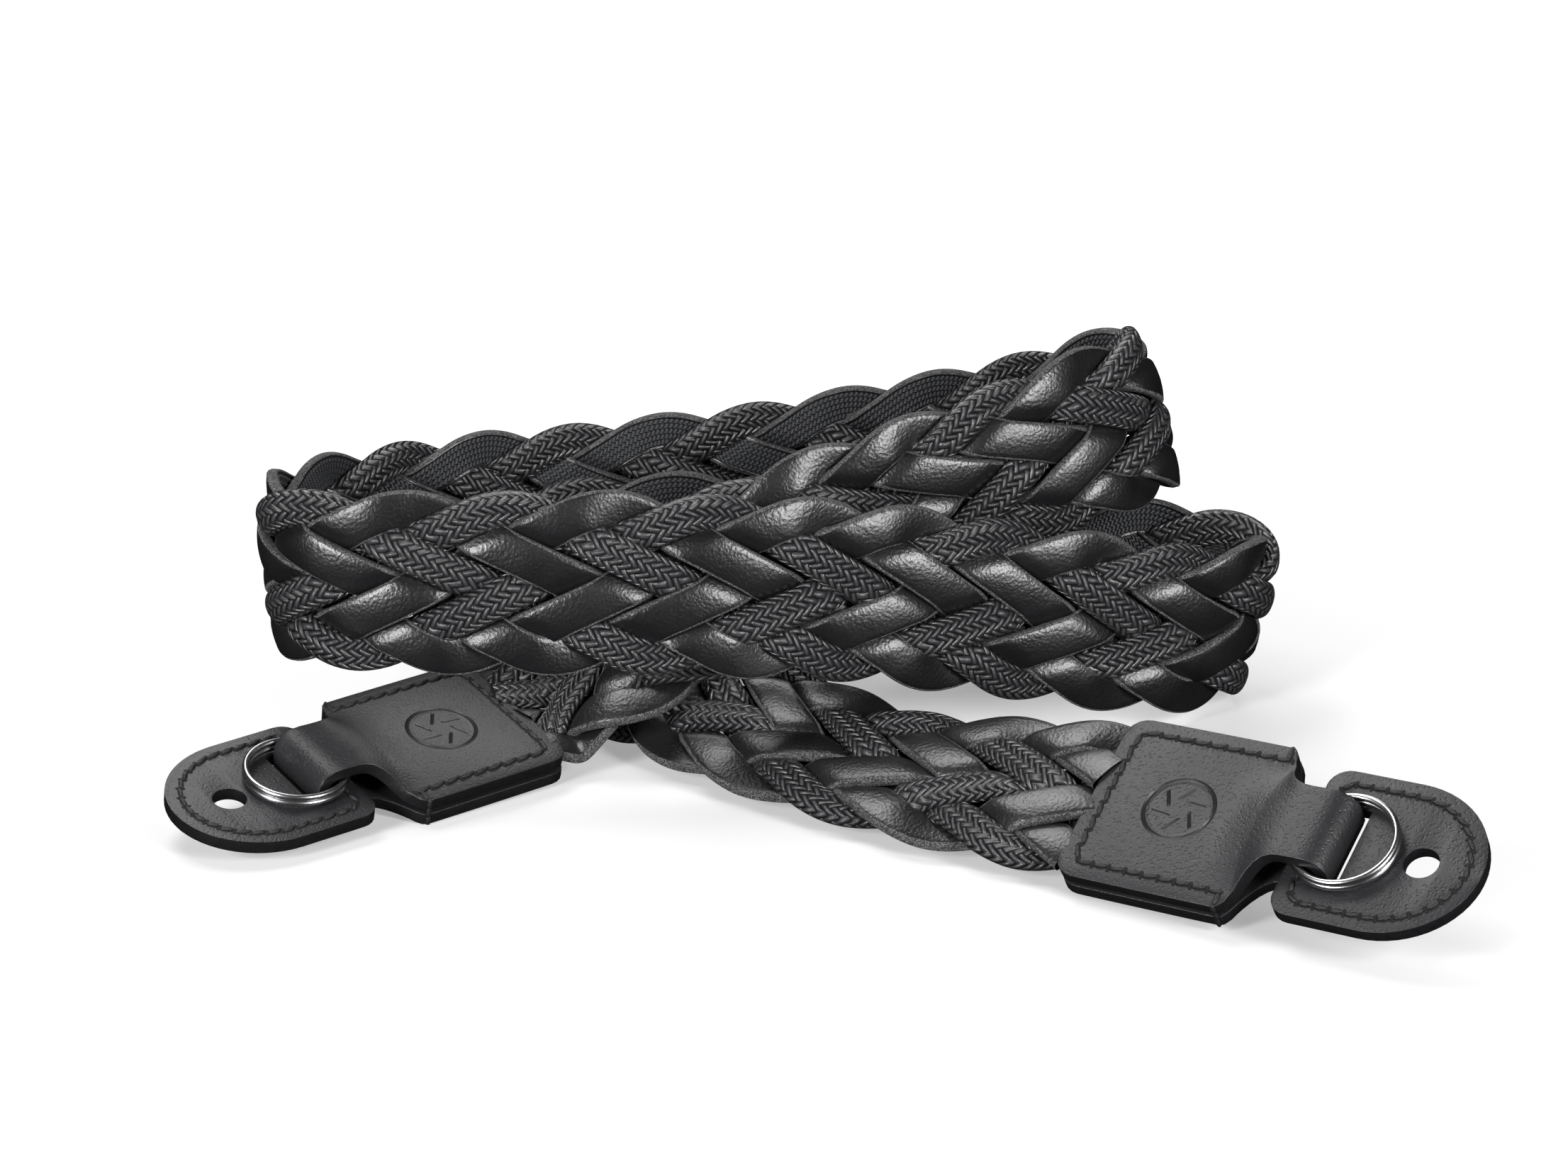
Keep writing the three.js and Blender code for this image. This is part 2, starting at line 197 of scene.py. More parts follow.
# %% [markdown]
# ## A strand from its cross-section
# A ribbon that runs along a coiled, leaning, plaited path can't be shaped by extruding or
# bending by hand, so a flat grid is added as a primitive and each of its rows is laid round the
# strand's cross-section. A section is a list of corner points (across, out) in millimetres. Each
# stretch between two points has its own finish and its own place in the UV map, whose other
# direction is the length along the strand, so a finish can be measured along it.

# %% Lay a grid round a section
INTO_TAB = 1.5
ROW_STEP = 1.0
NUDGE = 0.05
WELD = 1e-7


def strand_surface(index, section):
    """The strand's points, a row for each step along the band, and its own length there."""
    s = np.arange(BAND_TUCK - INTO_TAB, route_length - BAND_TUCK + INTO_TAB, ROW_STEP)
    corner = PHASE + index / CROSSINGS * PERIOD
    height, slope = zigzag(s - corner)
    tilt = np.sqrt(1 + slope**2)
    normal_s, normal_v = -slope / tilt, 1 / tilt
    shifts, outs = np.array(section, float).T

    def layer(shift):
        """The strand's middle layer, at this distance beside its middle line."""
        where = s[:, None] + normal_s[:, None] * shift
        up = height[:, None] + normal_v[:, None] * shift
        return on_band(where, up, LIFT * weave(s[:, None] - corner, shift))

    base = layer(shifts[None, :])
    sideways = layer(shifts[None, :] + NUDGE) - layer(shifts[None, :] - NUDGE)
    normal = unit(np.cross(np.gradient(base, axis=0), sideways))
    points = base + normal * outs[None, :, None] * MM
    return points, np.concatenate([[0], np.cumsum(tilt[1:] * ROW_STEP)])


def laid_grid(name, points):
    """A grid primitive whose vertices are moved to these rows of points."""
    rows, columns = points.shape[:2]
    bpy.ops.object.select_all(action="DESELECT")
    bpy.ops.mesh.primitive_grid_add(x_subdivisions=columns - 1, y_subdivisions=rows - 1, size=1)
    piece = bpy.context.object
    piece.name = name
    assert len(piece.data.vertices) == rows * columns
    piece.data.vertices.foreach_set("co", points.reshape(-1))
    return piece


def map_stretches(mesh, columns, stretches, length_on_strand):
    """Give each column of faces its finish, and its place in the map named strand."""
    face_column = np.arange(len(mesh.polygons)) % (columns - 1)
    mesh.polygons.foreach_set("material_index", np.array([stretches[c][2] for c in face_column]))
    loop_vertex = np.zeros(len(mesh.loops), int)
    mesh.loops.foreach_get("vertex_index", loop_vertex)
    loop_column = np.repeat(face_column, 4)
    at_end = (loop_vertex % columns) != loop_column
    starts, stops = (np.array([stretches[c][k] for c in loop_column]) for k in (0, 1))
    lengths = length_on_strand[loop_vertex // columns]
    uv = np.stack([lengths, np.where(at_end, stops, starts)], -1)
    mesh.uv_layers[0].data.foreach_set("uv", uv.reshape(-1))
    mesh.uv_layers[0].name = "strand"


def strand(name, index, section, stretches, finishes):
    points, length_on_strand = strand_surface(index, section)
    piece = laid_grid(name, points)
    for finish in finishes:
        piece.data.materials.append(finish)
    map_stretches(piece.data, points.shape[1], stretches, length_on_strand)
    bpy.ops.object.mode_set(mode="EDIT")
    bpy.ops.mesh.select_all(action="SELECT")
    bpy.ops.mesh.remove_doubles(threshold=WELD)
    bpy.ops.mesh.normals_make_consistent(inside=False)
    bpy.ops.object.mode_set(mode="OBJECT")
    bpy.ops.object.shade_smooth()
    return piece


print("a strand has a row of points every", ROW_STEP, "mm")

# %% [markdown]
# ## Writing finishes as sums
# A shader is a network of small nodes. The first class wraps one socket, so that ordinary Python
# arithmetic on values adds the Math nodes, and a finish reads like a formula. The second one is
# the material with its texture nodes. Its sizes are in millimetres on the real strap.


# %% Arithmetic on sockets
class Value:
    """The output of a shader node, which can be counted with."""

    def __init__(self, finish, socket):
        self.finish, self.socket = finish, socket

    def __add__(self, other):
        return self.finish.math("ADD", self, other)

    def __radd__(self, other):
        return self.finish.math("ADD", other, self)

    def __sub__(self, other):
        return self.finish.math("SUBTRACT", self, other)

    def __rsub__(self, other):
        return self.finish.math("SUBTRACT", other, self)

    def __mul__(self, other):
        return self.finish.math("MULTIPLY", self, other)

    def __rmul__(self, other):
        return self.finish.math("MULTIPLY", other, self)

    def __truediv__(self, other):
        return self.finish.math("DIVIDE", self, other)

    def __mod__(self, other):
        return self.finish.math("FLOORED_MODULO", self, other)

    def __lt__(self, other):
        return self.finish.math("LESS_THAN", self, other)

    def __abs__(self):
        return self.finish.math("ABSOLUTE", self)

    def floor(self):
        return self.finish.math("FLOOR", self)

    def clamped(self):
        return self.finish.math("MINIMUM", self.finish.math("MAXIMUM", self, 0.0), 1.0)


class Finish:
    """A Principled material. Fixed values are set at once and varying ones are linked later."""

    def __init__(self, name, **fixed):
        self.material = bpy.data.materials.new(name)
        self.material.use_nodes = True
        self.tree = self.material.node_tree
        self.surface = self.tree.nodes["Principled BSDF"]
        for key, value in fixed.items():
            self.surface.inputs[key.replace("_", " ")].default_value = value

    def node(self, kind, settings, values, output=0):
        node = self.tree.nodes.new(kind)
        for key, value in settings.items():
            setattr(node, key, value)
        for key, value in values.items():
            if isinstance(value, Value):
                self.tree.links.new(value.socket, node.inputs[key])
            else:
                node.inputs[key].default_value = value
        return Value(self, node.outputs[output])

    def math(self, operation, first, second=0.0):
        return self.node("ShaderNodeMath", {"operation": operation}, {0: first, 1: second})

    def place(self):
        return self.node("ShaderNodeTexCoord", {}, {}, "Object")

    def map_place(self, uv_map):
        uv = self.node("ShaderNodeUVMap", {"uv_map": uv_map}, {})
        first = self.node("ShaderNodeSeparateXYZ", {}, {0: uv})
        return first, Value(self, first.socket.node.outputs[1])

    def noise(self, size, detail=3.0):
        values = {"Vector": self.place(), "Scale": 1000 / size, "Detail": detail}
        return self.node("ShaderNodeTexNoise", {}, values)

    def cells(self, size, feature="F1"):
        values = {"Vector": self.place(), "Scale": 1000 / size}
        return self.node("ShaderNodeTexVoronoi", {"feature": feature}, values)

    def mix(self, share, low, high):
        """The colour at this share of the way from low to high."""
        values = {0: share, 6: (*low, 1), 7: (*high, 1)}
        return self.node("ShaderNodeMix", {"data_type": "RGBA"}, values, 2)

    def bump(self, height, depth, strength=1.0):
        values = {"Strength": strength, "Distance": depth * MM, "Height": height}
        return self.node("ShaderNodeBump", {}, values)

    def link(self, **links):
        for key, value in links.items():
            self.tree.links.new(value.socket, self.surface.inputs[key.replace("_", " ")])
        return self.material


# %% [markdown]
# ## The strips' leather
# The strips are smooth black calf leather with a satin gloss. Close up it has a fine pebbled
# grain, whose lit tops sparkle, and soft creases where it bends. Both are bumps, because they
# are far shallower than the strip is thick. Small cells make the grain and a slow noise the
# creases. The strips' cut edges are raw and show light fibres.


# %% Grain side and cut edge
def grain_leather():
    finish = Finish("glossy_strip_leather", Specular_IOR_Level=0.75)
    grain = finish.cells(size=0.6, feature="SMOOTH_F1")
    fine = finish.noise(size=0.3, detail=2.0)
    creases = finish.noise(size=3.4)
    crease_lines = 1 - (abs(creases - 0.5) * 14).clamped()
    height = grain * 0.8 + fine * 0.4 - crease_lines * 0.07
    wear = finish.noise(size=9.0)
    colour = finish.mix(wear, low=(0.003, 0.003, 0.0035), high=(0.009, 0.009, 0.01))
    rough = 0.25 + wear * 0.12 + fine * 0.06
    return finish.link(Base_Color=colour, Roughness=rough, Normal=finish.bump(height, depth=0.085))


def cut_edge():
    finish = Finish("cut_leather_edge", Roughness=0.85)
    fibres = finish.noise(size=0.3, detail=4.0)
    patches = finish.noise(size=2.0, detail=2.0)
    light = ((fibres - 0.42) * 3.0 * (0.4 + patches)).clamped()
    colour = finish.mix(light, low=(0.014, 0.014, 0.015), high=(0.2, 0.2, 0.2))
    return finish.link(Base_Color=colour, Normal=finish.bump(fibres, depth=0.25))


strip_leather, strip_edge = grain_leather(), cut_edge()
print("leather finishes:", strip_leather.name, strip_edge.name)

# %% [markdown]
# ## The lining of a strip
# The back of each strip shows five thin corded ribs side by side. The ribs are real shape, and
# the slanting turns of their yarns are a bump in V form, measured along the strand. The map
# counts the ribs from 0 to 5, so what is left after the whole ribs is the place in one rib.
# The colour darkens into the grooves between the yarn turns, which is painted shade.

# %% Lining yarns
YARN_PITCH = 0.95


def lining_yarns():
    finish = Finish("ribbed_lining", Roughness=0.55)
    length, rib = finish.map_place("strand")
    from_middle = abs(rib % 1.0 - 0.5)
    turn = (length / YARN_PITCH + from_middle * 1.3) % 1.0
    yarn = 1 - (turn * 2 - 1) * (turn * 2 - 1)
    fuzz = finish.noise(size=0.25)
    # Painted shade: the colour is darkest in the grooves between yarn turns and lighter on their
    # crests.
    colour = finish.mix(yarn, low=(0.004, 0.004, 0.005), high=(0.04, 0.041, 0.045))
    return finish.link(Base_Color=colour, Normal=finish.bump(yarn + fuzz * 0.25, depth=0.3))


strip_lining = lining_yarns()
print("lining finish:", strip_lining.name)

# %% [markdown]
# ## The woven cord
# A cord is a soft flat tube braided from black yarns, two over and two under, so slanting
# floats stand in rows along it like a herringbone. Two slanted counts across the surface give
# each point its yarn of either family, and which one is on top. The float is round across and
# arched along. This is a bump: as real shape it would need millions of faces. The colour follows
# the same height as painted shade: near black in the gaps between floats, less dark on their tops.

# %% Herringbone of a cord
CORD_PITCH = 1.5
CORD_TURN = 1.8


def woven_yarns():
    finish = Finish("woven_cord", Specular_IOR_Level=0.8)
    length, around = finish.map_place("strand")
    first = length / CORD_TURN + around / CORD_PITCH
    second = length / CORD_TURN - around / CORD_PITCH
    first_yarn, second_yarn = first.floor(), second.floor()

    def float_height(place, side):
        """A float's height at a place along it, from 0 to 2, and beside it, from -1 to 1."""
        return (1 - side * side) * (1.0 - 0.5 * (place - 1) * (place - 1))

    along_a, along_b = (first - second_yarn) % 4.0, (second - first_yarn - 1.0) % 4.0
    a_on_top = along_a < 2.0
    height_a = float_height(along_a, (second - second_yarn) * 2 - 1)
    height_b = float_height(along_b, (first - first_yarn) * 2 - 1)
    height = (a_on_top * height_a + (1 - a_on_top) * height_b).clamped()
    fibres = finish.noise(size=0.16, detail=2.0)
    # Painted shade: the colour darkens to near black in the gaps between floats and is lighter on
    # their tops.
    colour = finish.mix(height, low=(0.0006, 0.0006, 0.0008), high=(0.045, 0.045, 0.048))
    bumped = finish.bump(height + fibres * 0.12, depth=0.7)
    return finish.link(Base_Color=colour, Roughness=0.22 + fibres * 0.18, Normal=bumped)


cord_yarns = woven_yarns()
print("cord finish:", cord_yarns.name)

# %% [markdown]
# ## The seven strands
# The leather strip's section is a slab with rounded edges, slightly domed on its grain side,
# and five half-round ribs behind. The cord's section is a soft oval. Both are lists of points,
# because a section is quickest drawn as an outline and then carried along the strand.

# %% Sections
GRAIN_SIDE, CUT_EDGE, LINING = 0, 1, 2
STRIP_FACE, STRIP_DOME = 1.05, 0.38
# A strip's edge from its grain side to its back: distance in from the half width, and out.
EDGE_LINE = [(0.12, 0.9), (0, 0.6), (0, -0.5), (0.2, -0.9), (0.45, -1.05), (0.85, -1.1)]
FACE_INSET, EDGE_INSET, RIB_INSET = 0.45, 0.42, 0.95
RIBS, RIB_PARTS = 5, 5
RIB_FLOOR, RIB_HIGH, RIB_ROUND = 0.82, 0.5, 0.7
CORD_HALF, CORD_THICK, CORD_SIDES = 3.65, 2.1, 28
CORD_ROUND_ACROSS, CORD_ROUND_OUT = 0.88, 0.95


def strip_section():
    half, rib_points = STRIP_HALF, RIBS * RIB_PARTS
    face = [(half - FACE_INSET) * k / 4 for k in range(-4, 5)]
    points = [(x, STRIP_FACE + STRIP_DOME * (1 - (x / half) ** 2)) for x in face]
    edge_line = [(half - inset, out) for inset, out in EDGE_LINE]
    points += edge_line
    rib_start = len(points)
    for k in range(rib_points + 1):
        share = k / rib_points
        bulge = abs(math.sin(math.pi * RIBS * share)) ** RIB_ROUND
        points.append(((half - RIB_INSET) * (1 - 2 * share), -RIB_FLOOR - RIB_HIGH * bulge))
    points += [(-x, out) for x, out in reversed(edge_line)]
    points.append(points[0])
    stretches = []
    for i, ((x0, _), (x1, _)) in enumerate(zip(points, points[1:])):
        rib = i - rib_start
        if 0 <= rib < rib_points:
            stretches.append((rib / RIB_PARTS, (rib + 1) / RIB_PARTS, LINING))
        else:
            at_edge = abs(x0 + x1) / 2 > half - EDGE_INSET
            stretches.append((x0, x1, CUT_EDGE if at_edge else GRAIN_SIDE))
    return points, stretches


def softened(share, power):
    return math.copysign(abs(share) ** power, share)


def cord_section():
    points, stretches, run = [], [], 0.0
    for k in range(CORD_SIDES + 1):
        a = 2 * math.pi * (0.5 - k / CORD_SIDES)
        x = softened(math.cos(a), CORD_ROUND_ACROSS) * CORD_HALF
        points.append((x, softened(math.sin(a), CORD_ROUND_OUT) * CORD_THICK))
    points[-1] = points[0]
    for start, stop in zip(points, points[1:]):
        step = math.dist(start, stop)
        stretches.append((run, run + step, 0))
        run += step
    # The map round the cord is drawn out a little, so that whole repeats of 4 yarns meet.
    whole = round(run / CORD_PITCH / 4) * 4 * CORD_PITCH / run
    return points, [(start * whole, stop * whole, finish) for start, stop, finish in stretches]


print("points round a strip:", len(strip_section()[0]), "and a cord:", len(cord_section()[0]))

# %% [markdown]
# ## Where the ends sit
# The tab, ring and guard of an end are modelled flat, with x along the neck, and then turned
# onto the end of the route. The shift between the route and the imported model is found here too:
# it is what brings the middle between the two rings to the middle between their CAD boxes.

# %% Sizes and places of the ends
LAYER, CLEAR = 2.2, 0.3
TAB_THICK, TAB_LONG, TAB_WIDE, TAB_CORNER = 5.6, 36.0, 37.0, 4.0
NECK_LONG, NECK_WIDE = 15.0, 16.0
RING_OUTER, RING_WIRE, GUARD_THICK = 20.5, 1.3, 2.5
GUARD_LOW = -TAB_THICK / 2 + LAYER + CLEAR
GUARD_HIGH = GUARD_LOW + GUARD_THICK
RING_LOW = GUARD_HIGH + CLEAR
FOLD_HIGH = RING_LOW + 2 * RING_WIRE + CLEAR + LAYER
FOLD_END = TAB_LONG + NECK_LONG


def end_matrix(length, side):
    x, y = unit(at_length(length, along)) * side, unit(at_length(length, across)) * side
    z, origin = unit(at_length(length, outward)), at_length(length, middle) + SHIFT
    rows = [[x[i], y[i], z[i], origin[i] * MM] for i in range(3)]
    return Matrix(rows + [[0, 0, 0, 1]])


def ring_centre(matrix):
    return matrix @ Vector((FOLD_END * MM, 0, (RING_LOW + RING_WIRE) * MM))


def cad_ring_centre(name):
    low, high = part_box(f"{name}_split_ring")
    return (low + high) / 2


END_LENGTHS = {"left": (BAND_TUCK, -1), "right": (route_length - BAND_TUCK, 1)}
guess = sum((ring_centre(end_matrix(*where)) for where in END_LENGTHS.values()), Vector()) / 2
truth = sum((cad_ring_centre(name) for name in END_LENGTHS), Vector()) / 2
SHIFT = np.array(truth - guess) / MM
ENDS = {name: end_matrix(*where) for name, where in END_LENGTHS.items()}
for name, matrix in ENDS.items():
    miss = (ring_centre(matrix) - cad_ring_centre(name)).length / MM
    print(name, "ring is off by", round(miss, 3), "mm")

# %% [markdown]
# ## Plait the band
# On the real strap one person plaits all seven strands together. Here each strand is made by
# itself, with its own place in the order, and because all of them follow the same rule they
# come out woven through each other.

# %% Plait the strands
counts = {"leather": 0, "cord": 0}
for index, kind in enumerate(STRANDS):
    counts[kind] += 1
    if kind == "leather":
        finishes = [strip_leather, strip_edge, strip_lining]
        piece = strand(f"leather_strip_{counts[kind]}", index, *strip_section(), finishes)
    else:
        piece = strand(f"woven_cord_{counts[kind]}", index, *cord_section(), [cord_yarns])
    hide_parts(f"{kind}_strand_{counts[kind]}")
    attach(piece, "root")
    print(piece.name, "has", len(piece.data.polygons) * 2, "triangles")

# %% [markdown]
# ## Leather of the tabs, thread and steel
# The tabs and guards are a duller, finely grained leather with short pores. Their edges are
# dyed and burnished, so they are smoother. The thread is waxed black, and the rings are bright
# drawn steel wire.


# %% End finishes
def tab_grain(name):
    finish = Finish(name, Specular_IOR_Level=0.42)
    pores = finish.cells(size=0.8)
    fine = finish.noise(size=0.3)
    cloud = finish.noise(size=12.0)
    colour = finish.mix(cloud, low=(0.012, 0.012, 0.013), high=(0.022, 0.022, 0.024))
    rough = 0.3 + cloud * 0.16 + fine * 0.1
    height = (pores * 2.2).clamped() * 0.6 + fine * 0.6
    return finish, colour, rough, height


def plain_tab_leather():
    finish, colour, rough, height = tab_grain("tab_leather")
    bumped = finish.bump(height, depth=0.11, strength=0.9)
    return finish.link(Base_Color=colour, Roughness=rough, Normal=bumped)


def burnished_edge():
    finish = Finish("burnished_edge", Roughness=0.38)
    streak = finish.noise(size=1.2)
    colour = finish.mix(streak, low=(0.003, 0.003, 0.0035), high=(0.009, 0.009, 0.01))
    return finish.link(Base_Color=colour, Normal=finish.bump(streak, depth=0.12, strength=0.6))


def waxed_thread():
    finish = Finish("waxed_thread", Roughness=0.5)
    fibres = finish.noise(size=0.22, detail=2.0)
    colour = finish.mix(fibres, low=(0.002, 0.002, 0.002), high=(0.014, 0.014, 0.015))
    return finish.link(Base_Color=colour, Normal=finish.bump(fibres, depth=0.15))


tab_leather, tab_edge, thread = plain_tab_leather(), burnished_edge(), waxed_thread()
steel_look = {"Metallic": 1.0, "Base_Color": (0.5, 0.5, 0.51, 1), "Roughness": 0.27}
steel = Finish("drawn_steel_wire", **steel_look).material
# A near-black finish for the flat beads at the needle holes: painted shade in the holes.
hole_shade = Finish("needle_hole_shade", Base_Color=(0.002, 0.002, 0.002, 1), Roughness=0.9).material
print("end finishes:", [m.name for m in (tab_leather, tab_edge, thread, steel, hole_shade)])

# %% [markdown]
# ## The end tab is one folded piece of leather
# The leather starts as a row of faces at the plait's end of the front layer. Its far edge is
# extruded step by step: along the tab, in at the shoulders, up over the ring, down through the
# guard's slot and back under as the back layer. Extruding an edge follows the real fold. The
# guard is made the same way, so the step is one of these helpers.


# %% Helpers for hand modelling
def select_only(piece):
    bpy.ops.object.select_all(action="DESELECT")
    piece.select_set(True)
    bpy.context.view_layer.objects.active = piece


def join_all(pieces):
    """Join the pieces into the first one and settle it where it stands."""
    select_only(pieces[0])
    for piece in pieces:
        piece.select_set(True)
    bpy.ops.object.join()
    bpy.ops.object.transform_apply(location=True, rotation=True, scale=True)
    return bpy.context.object


def apply_modifier(piece, name, kind, **settings):
    select_only(piece)
    modifier = piece.modifiers.new(name, kind)
    for key, value in settings.items():
        setattr(modifier, key, value)
    bpy.ops.object.modifier_apply(modifier=name)


def settle(piece, matrix):
    piece.matrix_world = matrix
    select_only(piece)
    bpy.ops.object.transform_apply(location=True, rotation=True, scale=True)


def declare(piece, node):
    if node:
        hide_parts(node)
    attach(piece, "root")


def extruded_strip(line, columns):
    """A strip through (x, z, half width) rows in millimetres, made by extruding its edge."""
    (x0, z0, w0), (x1, _, w1) = line[:2]
    middle_x = (x0 + x1) / 2 * MM
    bpy.ops.object.select_all(action="DESELECT")
    bpy.ops.mesh.primitive_grid_add(x_subdivisions=1, y_subdivisions=columns, size=1)
    piece = bpy.context.object
    piece.scale = ((x1 - x0) * MM, 2 * w0 * MM, 1)
    piece.location = (middle_x, 0, z0 * MM)
    bpy.ops.object.transform_apply(location=True, rotation=True, scale=True)
    far = [v.co.x > middle_x for v in piece.data.vertices]
    bpy.ops.object.mode_set(mode="EDIT")
    bpy.ops.mesh.select_mode(type="VERT")
    bpy.ops.mesh.select_all(action="DESELECT")
    bpy.ops.object.mode_set(mode="OBJECT")
    piece.data.vertices.foreach_set("select", far)
    bpy.ops.object.mode_set(mode="EDIT")
    bpy.ops.transform.resize(value=(1, w1 / w0, 1))
    for (xa, za, wa), (xb, zb, wb) in zip(line[1:], line[2:]):
        move = {"value": ((xb - xa) * MM, 0, (zb - za) * MM)}
        bpy.ops.mesh.extrude_region_move(TRANSFORM_OT_translate=move)
        bpy.ops.transform.resize(value=(1, wb / wa, 1))
    bpy.ops.mesh.select_all(action="SELECT")
    bpy.ops.mesh.normals_make_consistent(inside=False)
    bpy.ops.object.mode_set(mode="OBJECT")
    return piece


# %% [markdown]
# The tab's plate has round corners at the plait's end and small round shoulders. From there
# hollow curves lead in to the neck. The fold is a list of rows along the leather, each with its
# place, its height and its half width, and the back layer repeats the front's outline.

# %% The tab's outline and fold
SHEET = 2.3
FRONT = TAB_THICK / 2 - SHEET / 2
SHOULDER, SHOULDER_ROUND = TAB_LONG - 1.5, 1.6
HOLLOW, HOLLOW_CURVE = 8.0, 2.4
HOLLOW_SHARES = (0.06, 0.14, 0.24, 0.36, 0.5, 0.66, 0.82, 0.98)
PLATE_FROM, PLATE_STEP = 6.0, 2.0


def tab_half_width(x):
    if x < TAB_CORNER:
        return TAB_WIDE / 2 - TAB_CORNER + math.sqrt(max(TAB_CORNER**2 - (TAB_CORNER - x) ** 2, 0))
    if x < SHOULDER - SHOULDER_ROUND:
        return TAB_WIDE / 2
    if x < SHOULDER:
        share = (x - SHOULDER + SHOULDER_ROUND) / SHOULDER_ROUND
        return TAB_WIDE / 2 - SHOULDER_ROUND * share**2
    hollow = min((x - SHOULDER) / HOLLOW, 1)
    beyond_neck = TAB_WIDE / 2 - SHOULDER_ROUND - NECK_WIDE / 2
    return NECK_WIDE / 2 + beyond_neck * (1 - hollow) ** HOLLOW_CURVE


outline_x = [TAB_CORNER * (1 - math.cos(math.radians(a))) for a in range(0, 91, 18)]
outline_x += list(np.arange(PLATE_FROM, SHOULDER - SHOULDER_ROUND - 0.1, PLATE_STEP))
outline_x += [SHOULDER - SHOULDER_ROUND, SHOULDER - SHOULDER_ROUND / 2, SHOULDER]
outline_x += [SHOULDER + HOLLOW * share for share in HOLLOW_SHARES]
neck_high = FOLD_HIGH - LAYER + SHEET / 2
turn_x = FOLD_END - SHEET / 2
over_ring = [(44.0, neck_high - 0.1), (45.6, neck_high), (47.4, neck_high - 0.1)]
over_ring += [(49.0, neck_high - 0.8), (turn_x, neck_high - 2.2), (turn_x + 0.1, 2.4)]
over_ring += [(turn_x, 0.4), (turn_x - 0.6, -0.9), (47.8, -FRONT), (45.0, -FRONT)]
fold_line = [(x, FRONT, tab_half_width(x)) for x in outline_x]
fold_line += [(x, z, NECK_WIDE / 2) for x, z in over_ring]
fold_line += [(x, -FRONT, tab_half_width(x)) for x in reversed(outline_x)]
print("the tab's leather has", len(fold_line), "rows")

# %% [markdown]
# The face of each tab carries a pressed circle. Here it holds six slanting strokes, like the
# blades of a shutter. The pressing is a bump, measured in the leather's own flat map, so that
# it follows the leather through its swell and its fold.

# %% Pressed leather
CIRCLE_X, CIRCLE_RADIUS, LINE_HALF = 18.0, 6.7, 0.42
STROKE_SECTOR = math.pi / 3
STROKE_SLANT, STROKE_OFF, STROKE_HALF = 0.62, 1.9, 0.38
STROKE_FROM, STROKE_TO = 2.0, 5.2


def pressed_leather():
    finish, colour, rough, grain = tab_grain("pressed_tab_leather")
    length, y = finish.map_place("leather")
    x = length - CIRCLE_X
    radius = finish.math("SQRT", x * x + y * y)
    ring = (1 - abs(radius - CIRCLE_RADIUS) / LINE_HALF).clamped()
    angle = finish.math("ARCTAN2", y, x) % STROKE_SECTOR - STROKE_SECTOR / 2 + STROKE_SLANT
    beside = abs(radius * finish.math("SINE", angle) - STROKE_OFF)
    stroke = (1 - beside / STROKE_HALF).clamped() * (radius < STROKE_TO)
    stroke = stroke * ((radius - STROKE_FROM) * 2).clamped()
    inside = (CIRCLE_RADIUS - radius).clamped() * 0.35
    height = grain * 0.19 - (ring + stroke * 0.9) - inside
    bumped = finish.bump(height, depth=0.6, strength=0.9)
    return finish.link(Base_Color=colour, Roughness=rough, Normal=bumped)


front_leather = pressed_leather()
print("pressed finish:", front_leather.name)

# %% [markdown]
# The plait's end stuffs the tab, so both layers swell between their sewn edges, and the front
# layer rises from the plate to the neck. That shape is put into the single sheet first. Then
# Solidify gives the leather its thickness and Bevel rounds its cut edges, which is easier than
# modelling both sides of a thick sheet.

# %% Fold and thicken the leather
PUFF_HIGH = 0.55
RISE_FROM, RISE_LONG = 26, 16.5
HELD_FROM, HELD_REACH, FREED_REACH = 2, 12, 6
SHAPED_TO = 43
TAB_COLUMNS = 14


def puff(x, y):
    """How far the stuffed tab swells at a place of its back, in millimetres."""
    if not 0 <= x <= SHOULDER:
        return 0.0
    length_share = (2 * x / SHOULDER - 1) ** 4
    return PUFF_HIGH * (1 - length_share) * (1 - min(abs(y) / (TAB_WIDE / 2), 1) ** 4)


def front_puff(x, y):
    """The front swells too, and rises to the neck's height except along its sewn edges."""
    rise = (neck_high - 0.15 - FRONT) * ease((x - RISE_FROM) / RISE_LONG).item()
    held = min(max((abs(y) - HELD_FROM) / HELD_REACH, 0), 1) ** 2
    held = held * (1 - ease((x - SHOULDER) / FREED_REACH).item())
    return puff(x, y) + rise * (1 - held)


def leather_tab(name):
    piece = extruded_strip(fold_line, TAB_COLUMNS)
    piece.name = name
    mesh = piece.data
    row_steps = [math.dist(a[:2], b[:2]) for a, b in zip(fold_line, fold_line[1:])]
    row_lengths = np.concatenate([[0], np.cumsum(row_steps)])
    flat = {}
    for vertex in mesh.vertices:
        x, y, z = (c / MM for c in vertex.co)
        row = min(range(len(fold_line)), key=lambda i: math.dist(fold_line[i][:2], (x, z)))
        flat[vertex.index] = (row_lengths[row], y)
        if abs(abs(z) - FRONT) < 0.01 and x < SHAPED_TO:
            vertex.co.z += (front_puff(x, y) if z > 0 else -puff(x, y)) * MM
    mesh.uv_layers[0].name = "leather"
    for loop in mesh.loops:
        mesh.uv_layers[0].data[loop.index].uv = flat[loop.vertex_index]
    for finish in (front_leather, tab_edge):
        mesh.materials.append(finish)
    thickness = {"thickness": SHEET * MM, "offset": 0, "use_even_offset": True}
    apply_modifier(piece, "Leather", "SOLIDIFY", material_offset_rim=1, **thickness)
    rounding = {"width": 0.5 * MM, "segments": 3, "limit_method": "ANGLE"}
    apply_modifier(piece, "Round", "BEVEL", angle_limit=math.radians(50), **rounding)
    bpy.ops.object.shade_smooth_by_angle(angle=math.radians(45))
    return piece


